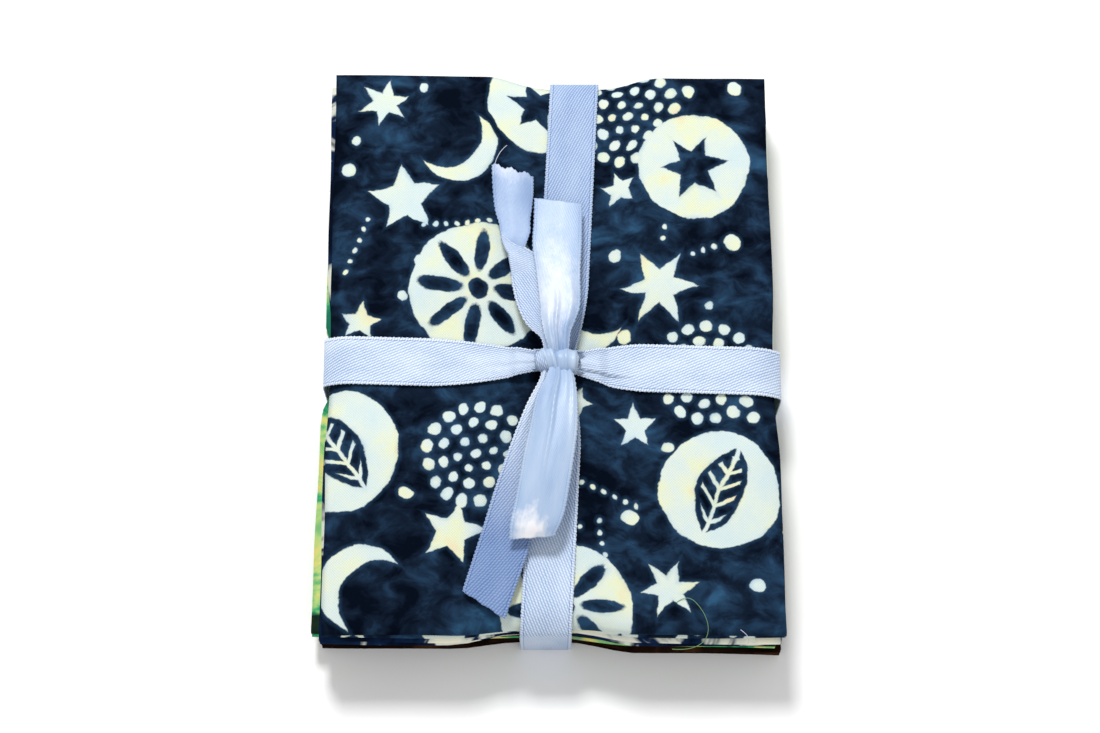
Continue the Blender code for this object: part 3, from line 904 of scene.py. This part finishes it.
def band(name, node, lies_along):
    middle = along_middle if lies_along else across_middle
    places, ways = taut_loop(tied_outline(lies_along))
    out = mix(BAND_OUT, BAND_OUT_SIDE, smooth(np.abs(ways[:, 0])))
    at, ways = rounded_loop(places + ways * out[:, None], ways)
    run, level = at.T
    on_top = (level > STACK_T / 2) & (ways[:, 1] > UPRIGHT)
    underneath = (level < STACK_T / 2) & (ways[:, 1] < -UPRIGHT)
    off = run - (KNOT_Y if lies_along else KNOT_X)
    reach = np.where((off < 0) & (not lies_along), GATHER_LENGTH_LEFT, GATHER_LENGTH)
    gather = 1 - np.clip((np.abs(off) - GATHER_START) / reach, 0, 1)
    gather = np.where(on_top, gather**GATHER_POWER, 0.0)
    lift = np.where(underneath if lies_along else on_top, OVER * near(off, OVER_HALF, OVER_RAMP), 0.0)
    half = mix(RIBBON_W, GATHERED_W_ALONG if lies_along else GATHERED_W, gather) / 2
    w = STRIP_W[None, :]
    gather = gather[:, None]
    raised = PLEATS_LIFT * gather**PLEAT_POWER
    for pleats in BAND_PLEATS:
        raised = raised + gather**PLEAT_POWER * pleats.height * MM * np.cos(pleats.turns * w + pleats.phase)
    if not lies_along:
        edge = smooth((-w - UNDER_FROM) / UNDER_RAMP) * np.where(off > 0, 1, 0)[:, None]
        raised = raised - UNDER_DROP * edge * smooth(gather / UNDER_GATHER)
    height = np.maximum(level, LOWEST) + lift
    lengths = run_length(at)
    moved = 0.0 if lies_along else KNOT_LIFT * gather[:, 0] * np.where(off < 0, 1.0, 0.5)
    across = (middle(run) + moved)[:, None] + w * half[:, None] + picots(lengths)
    along = np.broadcast_to(at[:, :1], across.shape)
    x, y = (across, along) if lies_along else (along, across)
    points = np.stack([x, y, height[:, None] + raised], axis=-1)
    # The faces' tones are painted shade, lower on the band along than on the band across, and lowest over the
    # first 60 mm of the band along's loop
    if lies_along:
        mirror = np.where((ways[:, 1] > -UPRIGHT) & (off < 0), -1, 1)
        faces = [ribbon_face("twill", 0.82, None, Fade(0.58, 60, 110)), ribbon_face("satin", 0.8)]
    else:
        mirror = 1
        faces = [ribbon_face("satin", 0.8), ribbon_face("twill", 0.95)]
    ribbon_strip(name, node, points, lengths, faces, mirror, closed=True)


# The free ends, from the knot to the cut. The columns of their rows are x, y, height above the stack, width,
# roll and curl, the roll in degrees and the others in mm. A ridge has its place across the ribbon, from -1
# to 1, its width there, its height in mm, and the share of the length that it reaches
Ridge = namedtuple("Ridge", "place width height reach")
# Where the ribbon turns over a slanted fold: its middle, half its length and how far it takes to bend, in mm
Turn = namedtuple("Turn", "at slant reach")
# The upper and lower faces are each a weave with its tone, which is painted shade, and may add a patch of
# painted highlight and another painted shade at the knot
End = namedtuple("End", "slant ragged mirror turn upper lower ridges rows")
ENDS = {
    "ribbon_end_back_left": End(3.6, 0.4, 1, Turn(30.2, 5.5, 1.6),
                                ("twill", 0.80), ("satin", 0.50, Shine(1, 54, 6, 4, 0.35)), [
        Ridge(-0.50, 0.16, 0.7, 0.32), Ridge(0.15, 0.12, 0.9, 0.36), Ridge(0.62, 0.14, 0.6, 0.30),
    ], [
        (0.4, -4.6, 3.2, 4.6, 0, 0.3), (0.1, -0.7, 3.5, 4.8, 0, 0.4), (-0.6, 1.9, 3.4, 5.4, 4, 0.5),
        (-2.0, 4.8, 3.1, 7.8, 6, 0.6), (-3.2, 7.6, 3.0, 9.2, 6, 0.6), (-3.9, 11.0, 2.9, 10.4, 6, 0.6),
        (-4.8, 15.0, 3.0, 10.4, 4, 0.5), (-6.0, 19.0, 3.3, 9.8, 0, 0.3), (-9.1, 24.3, 3.6, 9.2, 0, 0.0),
        (-9.4, 30.5, 2.9, 7.8, 0, -0.2), (-9.8, 35.5, 2.5, 9.4, 0, -0.4),
        (-9.95, 40.4, 2.3, 10.3, 0, -0.6), (-10.1, 46.3, 2.3, 10.6, 0, -0.5),
    ]),
    "ribbon_end_back_right": End(-1.6, 0.05, 1, None,
                                 ("satin", 0.66, Shine(-1, 17, 6, 13, 0.46)), ("twill", 0.8), [
        Ridge(-0.55, 0.16, 0.6, 0.42), Ridge(-0.10, 0.10, 0.9, 0.50), Ridge(0.28, 0.09, 0.5, 0.36),
        Ridge(0.60, 0.16, 0.7, 0.60),
    ], [
        (1.7, -4.6, 5.0, 4.8, 0, 0.2), (1.6, -2.0, 6.0, 5.4, 0, 0.3), (1.3, 1.7, 6.2, 7.0, 0, 0.5),
        (1.6, 5.4, 6.1, 9.0, -2, 0.6), (2.0, 9.3, 5.8, 10.2, -3, 0.7), (1.6, 17.1, 5.0, 11.0, -3, 0.6),
        (1.3, 25.0, 4.2, 12.4, -2, 0.5), (1.5, 31.0, 3.6, 12.3, -2, 0.4), (1.6, 37.3, 3.4, 12.2, -2, 0.3),
    ]),
    "ribbon_end_front_upper": End(3.0, 0.08, 1, None,
                                  ("satin", 0.76, Shine(1, 43, 4, 5, 1.0)), ("twill", 0.8), [
        Ridge(-0.80, 0.10, 0.6, 0.60), Ridge(0.08, 0.07, 0.9, 1.05), Ridge(0.24, 0.06, 0.5, 0.50),
        Ridge(-0.45, 0.16, 0.5, 0.30),
    ], [
        (1.9, -7.6, 5.0, 5.0, 0, 0.2), (2.0, -11.0, 6.2, 7.2, 2, 0.5), (1.5, -14.6, 6.8, 9.4, 4, 0.9),
        (1.0, -18.1, 7.2, 10.7, 5, 1.2), (0.3, -24.5, 7.5, 11.8, 6, 1.5),
        (-0.8, -31.0, 7.6, 12.3, 6, 1.6), (-1.8, -37.3, 7.5, 12.4, 5, 1.4),
        (-2.9, -43.4, 7.1, 12.4, 4, 0.9), (-4.2, -48.2, 6.6, 11.6, 2, 0.2),
        (-4.9, -51.2, 5.4, 10.6, 0, -0.3),
    ]),
    "ribbon_end_front_lower": End(-3.4, 0.12, -1, None,
                                  ("twill", 0.30, None, Fade(1.0, 10, 46)), ("satin", 0.6), [
        Ridge(-0.50, 0.14, 0.6, 0.30), Ridge(0.15, 0.10, 0.7, 0.35), Ridge(0.70, 0.12, 0.6, 0.50),
    ], [
        (0.0, -7.6, 3.2, 4.8, 0, 0.2), (-0.4, -11.6, 3.4, 6.0, -4, 0.3), (-2.4, -18.5, 3.0, 8.6, -6, 0.4),
        (-5.0, -28.0, 2.6, 10.6, -5, 0.4), (-8.0, -39.0, 2.3, 12.0, -3, 0.3),
        (-11.4, -51.0, 2.1, 12.3, 0, 0.2), (-16.5, -66.9, 1.8, 12.0, 0, 0.1),
    ]),
}


CUT_SHARE = 0.2  # of an end's length, over which its cut takes its slant
CURVE_STEPS = 12  # between two rows


def between(rows, step):
    """The rows' values on a smooth curve through them, at even steps along the route, places in metres."""
    table = np.array(rows, float)
    padded = np.vstack([2 * table[0] - table[1], table, 2 * table[-1] - table[-2]])
    found = []
    for i in range(len(rows) - 1):
        a, b, c, d = padded[i : i + 4]
        for t in np.arange(CURVE_STEPS) / CURVE_STEPS:
            bend = 2 * a - 5 * b + 4 * c - d + t * (3 * (b - c) + d - a)
            found.append(b + t / 2 * (c - a + t * bend))
    table = np.vstack(found + [table[-1:]])
    table[:, :3] *= MM
    lengths = run_length(table[:, :3])
    even = np.linspace(0, lengths[-1], round(lengths[-1] / step) + 1)
    return np.stack([np.interp(even, lengths, column) for column in table.T], axis=1), even


def free_end(name):
    end = ENDS[name]
    rows, lengths = between(end.rows, STRIP_STEP)
    centre = rows[:, :3] + np.array([0, 0, STACK_T])
    half, rolls, curl = rows[:, 3] * MM / 2, np.radians(rows[:, 4]), rows[:, 5] * MM
    forward = np.sign(centre[-1, 1] - centre[0, 1])
    level = np.array([forward, 0.0, 0.0])
    points, ways = strip_points(centre, lengths, half, level, rolls, end.ridges, curl, end.turn)
    last = smooth(1 - (1 - lengths / lengths[-1]) / CUT_SHARE)
    fray = end.ragged * (np.sin(9 * STRIP_W + 1) + 0.5 * np.sin(31 * STRIP_W))
    reach = last[:, None] * (end.slant * STRIP_W / 2 + fray)[None, :] * MM
    points = points + ways[:, None] * reach[:, :, None]
    faces = [ribbon_face(*end.lower), ribbon_face(*end.upper)]
    ribbon_strip("loose_" + name, name, points, lengths, faces, end.mirror)


# The knot: lengths of ribbon that turn round one another. The columns of their rows are x, y and z from the
# knot's seat and the width, in mm, and the roll in degrees. A ridge with a reach over 1 keeps its full height
KNOT_RIDGES = [
    Ridge(-0.60, 0.18, 0.34, 9), Ridge(0.10, 0.14, 0.40, 9), Ridge(0.70, 0.14, 0.34, 9),
]
UNDER_RIDGES = [Ridge(place, 0.09, 0.85, 9) for place in (-0.75, -0.45, -0.15, 0.15, 0.45, 0.75)]
WRAP_RIDGES = [Ridge(-0.62, 0.12, 0.4, 9), Ridge(-0.05, 0.10, 0.3, 9), Ridge(0.45, 0.14, 0.3, 9)]
FOLD_RIDGES = [Ridge(-0.55, 0.09, 0.6, 9), Ridge(0.20, 0.10, 0.7, 9), Ridge(0.66, 0.10, 0.5, 9)]
# A turn's face has a tone, which is painted shade
KnotTurn = namedtuple("KnotTurn", "face tone bow ridges rows")
KNOT_TURNS = {
    "knot_wrap": KnotTurn("satin", 0.84, 0.8, WRAP_RIDGES, [
        (1.6, 1.8, 0.2, 8.6, 0), (1.6, 2.5, 1.8, 8.4, 0), (1.6, 2.3, 3.9, 7.8, 0),
        (1.7, 1.0, 5.1, 7.2, 4), (1.8, -0.7, 5.2, 6.6, 8), (1.8, -2.2, 4.2, 6.4, 6),
        (1.7, -2.8, 2.2, 7.4, 0), (1.6, -2.0, 0.4, 8.4, 0),
    ]),
    "knot_tuck": KnotTurn("twill", 0.8, 1.1, KNOT_RIDGES, [
        (-0.4, 1.9, 0.0, 7.0, 0), (-2.5, 2.2, 2.0, 6.6, -16), (-3.0, 1.5, 3.3, 6.2, -26),
        (-3.0, 0.3, 3.7, 6.0, -30), (-2.7, -0.8, 2.9, 6.2, -26), (-1.2, -1.5, 0.0, 6.8, -12),
    ]),
    "knot_fold": KnotTurn("satin", 1.0, 0.9, FOLD_RIDGES, [
        (-1.5, 1.9, 0.2, 8.2, -10), (-1.8, 2.3, 2.0, 7.6, -18), (-1.6, 1.9, 3.6, 6.6, -26),
        (-0.9, 0.6, 4.1, 6.0, -20), (-0.1, -0.9, 3.7, 6.2, -8), (0.5, -2.1, 2.4, 7.2, 0),
        (0.6, -2.1, 0.2, 8.2, 0),
    ]),
    "knot_under": KnotTurn("satin", 0.7, 1.0, UNDER_RIDGES, [
        (-5.6, 1.2, 0.2, 6.0, 0), (-4.0, 1.0, 1.3, 5.4, 0), (-1.4, 0.7, 2.2, 5.2, 0),
        (1.6, 0.5, 2.3, 5.4, 0), (4.0, 0.4, 1.5, 6.0, 0), (5.6, 0.4, 0.2, 6.6, 0),
    ]),
}
KNOT_SEAT = 0.6 * MM
KNOT_SWELL = 0.7 * MM


def knot():
    seat = np.array([KNOT_X, KNOT_Y, STACK_T + OVER - PRESS + KNOT_SEAT])
    for name, turn in KNOT_TURNS.items():
        rows, lengths = between(turn.rows, STRIP_STEP)
        half, rolls = rows[:, 3] * MM / 2, np.radians(rows[:, 4])
        level = np.array([0.0, 1.0, 0.0] if name == "knot_under" else [-1.0, 0.0, 0.0])
        curl = np.full(len(lengths), KNOT_SWELL)
        centre = seat + rows[:, :3]
        points, _ = strip_points(centre, lengths, half, level, rolls, turn.ridges, curl, bow=turn.bow)
        faces = [ribbon_face("satin", 0.8), ribbon_face(turn.face, turn.tone)]
        if name == "knot_under":
            faces.reverse()
        ribbon_strip(name, "ribbon_knot", points, lengths, faces)


# Loose threads of the cloth and the ribbon, each as places in mm, with heights above the stack's top

THREAD = 0.16 * MM
THREADS = {
    "thread_green": [
        (30.0, -66.0, 0.4), (32.6, -64.0, 0.9), (35.4, -66.4, 1.2), (38.0, -71.2, 1.0),
        (37.4, -75.6, -1.4), (33.0, -77.0, -3.2), (29.0, -76.6, -3.4),
    ],
    "thread_curl": [(45.4, -72.6, 0.2), (46.6, -73.6, 0.9), (48.2, -74.8, -0.6), (47.0, -75.8, -2.0)],
    "thread_cut": [(-14.6, 48.0, 2.3), (-14.2, 50.0, 3.0), (-12.8, 52.0, 2.8), (-11.6, 53.4, 1.8)],
}


def threads():
    for name, route in THREADS.items():
        curve = bpy.data.curves.new(name, "CURVE")
        curve.dimensions = "3D"
        curve.bevel_depth = THREAD / 2
        curve.bevel_resolution = 2
        curve.resolution_u = 8
        line = curve.splines.new("NURBS")
        line.points.add(len(route) - 1)
        line.use_endpoint_u = True
        line.order_u = 4
        for point, place in zip(line.points, route):
            at = np.array(place) * MM + MOVE + np.array([0, 0, STACK_T])
            point.co = (*at, 1.0)
        green = name == "thread_green"
        material = thread_green if green else thread_white
        put_on(added(name, curve), [material])


# The studio

FLOOR_HALF = 4.0
CAMERA_AT = Vector((-0.5, -175.8, 547.1)) * MM
CAMERA_TO = Vector((-0.5, -5.9, 22.1)) * MM
FIELD_OF_VIEW = math.radians(28)
FLOOR_TONE = 0.92
WORLD_STRENGTH = 0.58
Lamp = namedtuple("Lamp", "name at size power")
LAMPS = [Lamp("key", (-0.12, 0.52, 0.85), 0.20, 7.8), Lamp("fill", (0.1, -0.6, 0.9), 0.8, 1.6)]


def aim(obj, at, to):
    obj.location = at
    obj.rotation_euler = (to - at).to_track_quat("-Z", "Y").to_euler()


def studio():
    bpy.ops.mesh.primitive_plane_add(size=2 * FLOOR_HALF)
    floor = bpy.context.object
    floor.name = "floor"
    paint = bpy.data.materials.new("floor_paint")
    paint.use_nodes = True
    shader = paint.node_tree.nodes["Principled BSDF"]
    shader.inputs["Base Color"].default_value = (FLOOR_TONE, FLOOR_TONE, FLOOR_TONE, 1)
    shader.inputs["Roughness"].default_value = 0.9
    floor.data.materials.append(paint)
    world = bpy.data.worlds.new("studio")
    bpy.context.scene.world = world
    world.use_nodes = True
    background = world.node_tree.nodes["Background"].inputs
    background["Color"].default_value = (1, 1, 1, 1)
    background["Strength"].default_value = WORLD_STRENGTH
    for lamp in LAMPS:
        light = bpy.data.lights.new(lamp.name, "AREA")
        light.size = lamp.size
        light.energy = lamp.power
        aim(added(lamp.name, light), Vector(lamp.at), Vector())
    camera_data = bpy.data.cameras.new("camera")
    camera_data.lens = camera_data.sensor_width / 2 / math.tan(FIELD_OF_VIEW / 2)
    camera = added("camera", camera_data)
    aim(camera, CAMERA_AT + Vector(MOVE), CAMERA_TO + Vector(MOVE))
    bpy.context.scene.camera = camera
    bpy.context.scene.view_settings.view_transform = "Standard"


studio()
cloth_materials = [
    star_print(),
    banded_batik(
        "navy_cream_batik",
        (0.40, 10, 18, 36), (0.52, 20, 40, 72), (0.56, 214, 218, 206), (0.66, 238, 236, 214),
        scale=0.05,
    ),
    banded_batik(
        "green_batik",
        (0.36, 36, 120, 92), (0.44, 62, 170, 112), (0.52, 176, 212, 130), (0.58, 228, 214, 122),
        (0.68, 66, 150, 134),
        scale=0.07,
        shade_at_folds=True,
    ),
    banded_batik(
        "dark_brown_batik",
        (0.40, 14, 8, 6), (0.58, 34, 20, 13), (0.70, 62, 38, 24),
    ),
]
for number, quarter in enumerate(QUARTERS):
    cloth = fat_quarter(number)
    put_on(cloth, [cloth_materials[number]])

band("band_across", "ribbon_band_across", False)
band("band_along", "ribbon_band_along", True)
knot()
for end_name in ENDS:
    free_end(end_name)
thread_green = thread_material("green_thread", srgb(120, 160, 110))
thread_white = thread_material("white_thread", srgb(214, 220, 236))
threads()
